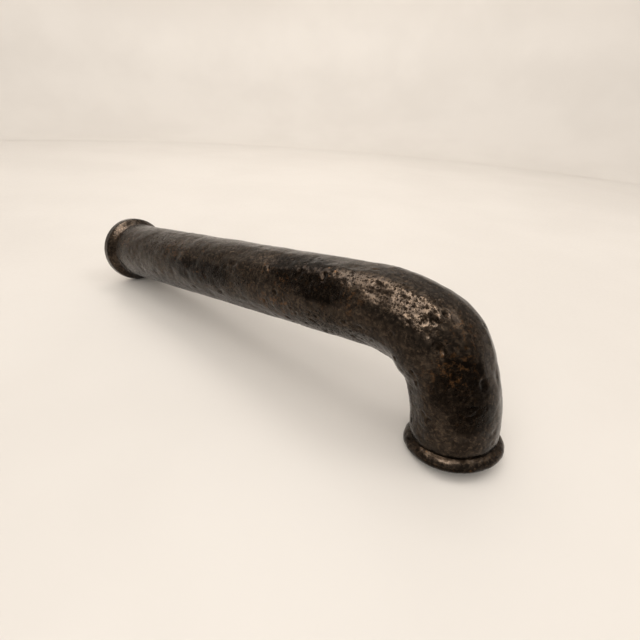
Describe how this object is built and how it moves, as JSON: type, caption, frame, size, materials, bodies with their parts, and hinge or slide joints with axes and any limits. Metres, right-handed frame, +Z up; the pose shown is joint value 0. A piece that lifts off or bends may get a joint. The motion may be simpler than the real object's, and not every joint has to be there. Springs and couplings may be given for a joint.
{
  "type": "pipe elbow",
  "caption": "Cast bronze elbow spout with a beaded rim at each end, on a slip-fit wall adapter with seals and set screw, with a recessed aerator in its outlet.",
  "frame": {"origin": "centre of the wall face of the inlet bead, on the axis of the long leg", "axes": "+X out along the long leg, away from the wall; +Z up, so the outlet looks along -Z"},
  "size_m": [0.2565, 0.0404, 0.0704],
  "materials": {
    "bronze": "dark oil-rubbed patina, waxed",
    "brass": "turned",
    "rubber": "smooth black",
    "foam": "matt closed-cell",
    "steel": "stainless",
    "nylon": "natural",
    "acetal": "moulded grey"
  },
  "bodies": {
    "wall_adapter": {"wall_adapter": "brass"},
    "seals": {"adapter_o_ring_rear": "rubber", "adapter_o_ring_front": "rubber"},
    "spout": {"cast_elbow": "bronze", "wall_gasket": "foam"},
    "screw_pad": {"set_screw_pad": "nylon"},
    "set_screw": {"set_screw": "steel"},
    "aerator_insert": {"aerator_cage": "acetal", "jet_plate": "acetal", "mesh_disc_upper": "steel", "mesh_spacer": "acetal", "mesh_disc_lower": "steel", "outlet_grid": "acetal", "dome_strainer": "steel", "aerator_washer": "rubber"},
    "aerator_housing": {"aerator_housing": "brass"}
  },
  "joints": [
    {"name": "spout_turn", "type": "hinge", "parent": "wall_adapter", "child": "seals", "pos_m": [0, 0, 0], "axis": [1, 0, 0], "continuous": true},
    {"name": "spout_slide", "type": "slide", "parent": "seals", "child": "spout", "axis": [1, 0, 0], "range_m": [0, 0.0115]},
    {"name": "set_screw_travel", "type": "slide", "parent": "spout", "child": "screw_pad", "axis": [0, 0, -1], "range_m": [0, 0.003]},
    {"name": "set_screw_turn", "type": "hinge", "parent": "screw_pad", "child": "set_screw", "pos_m": [0.022, 0, -0.012], "axis": [0, 0, -1], "range_deg": [0, 1080]},
    {"name": "aerator_travel", "type": "slide", "parent": "spout", "child": "aerator_insert", "axis": [0, 0, -1], "range_m": [0, 0.004]},
    {"name": "aerator_turn", "type": "hinge", "parent": "aerator_insert", "child": "aerator_housing", "pos_m": [0.2377, 0, -0.045], "axis": [0, 0, -1], "range_deg": [0, 1440]}
  ],
  "couplings": [
    {"joint": "set_screw_turn", "follows": "set_screw_travel", "rad_per_m": 6283.2},
    {"joint": "aerator_travel", "follows": "aerator_turn", "m_per_rad": 0.00015915}
  ]
}
